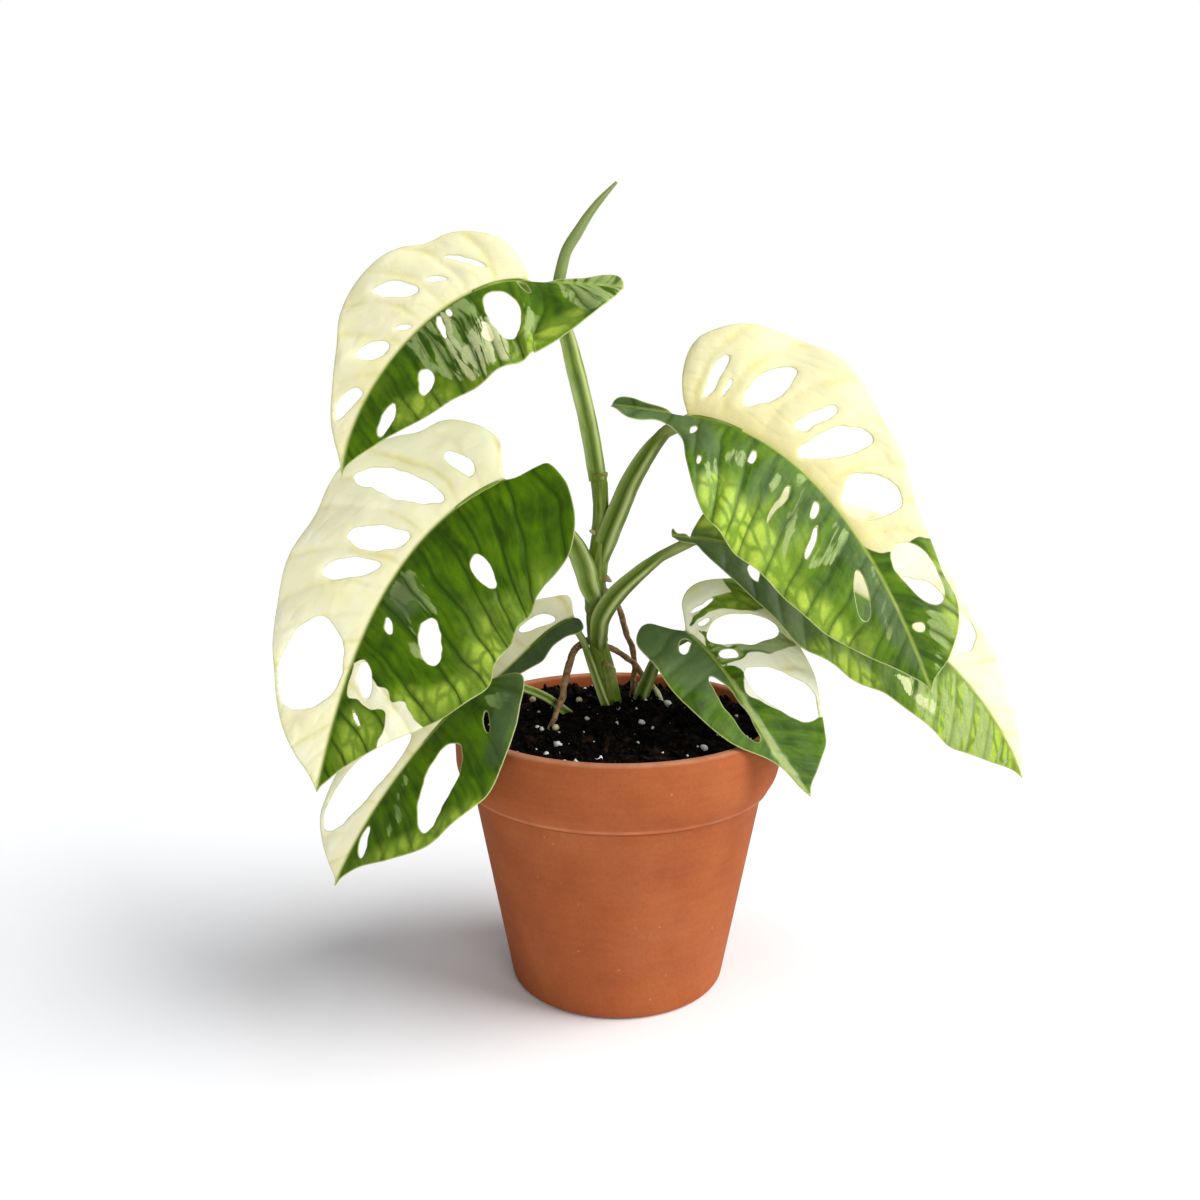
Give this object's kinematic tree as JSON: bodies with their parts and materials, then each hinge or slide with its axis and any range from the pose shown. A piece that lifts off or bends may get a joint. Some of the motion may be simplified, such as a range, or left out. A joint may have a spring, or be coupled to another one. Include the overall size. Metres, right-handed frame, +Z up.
{
  "type": "potted monstera plant",
  "caption": "Variegated Swiss-cheese vine with pierced heart-shaped leaves on upright petioles, growing in a terracotta pot of soil.",
  "frame": {"origin": "middle of the pot's foot, on the surface that it stands on", "axes": "+Z up the pot, +X to the right of the leaves' faces, -Y towards the side that most leaves face"},
  "size_m": [0.2999, 0.1349, 0.3204],
  "materials": {
    "terracotta": "unglazed fired clay, dry, faintly mottled",
    "potting_soil": "dark crumbly peat mix with white perlite",
    "stem_skin": "smooth waxy green skin",
    "petiole_skin": "smooth waxy green skin, paler above",
    "young_leaf": "rolled young leaf, pale green",
    "variegated_leaf": "half cream and half green leaf, satin cuticle",
    "root_bark": "dry brown root skin"
  },
  "bodies": {
    "root": {"aerial_root_back": "root_bark", "aerial_root_left": "root_bark", "aerial_root_right": "root_bark", "blade_low_left_front": "variegated_leaf", "blade_low_left_rear": "variegated_leaf", "blade_mid_left": "variegated_leaf", "blade_right_front": "variegated_leaf", "blade_right_lower": "variegated_leaf", "blade_right_upper": "variegated_leaf", "blade_top_left": "variegated_leaf", "new_leaf_spear": "young_leaf", "petiole_low_left_front": "petiole_skin", "petiole_low_left_rear": "petiole_skin", "petiole_mid_left": "petiole_skin", "petiole_right_front": "petiole_skin", "petiole_right_lower": "petiole_skin", "petiole_right_upper": "petiole_skin", "petiole_top_left": "petiole_skin", "pot": "terracotta", "soil": "potting_soil", "stem": "stem_skin"}
  },
  "joints": []
}
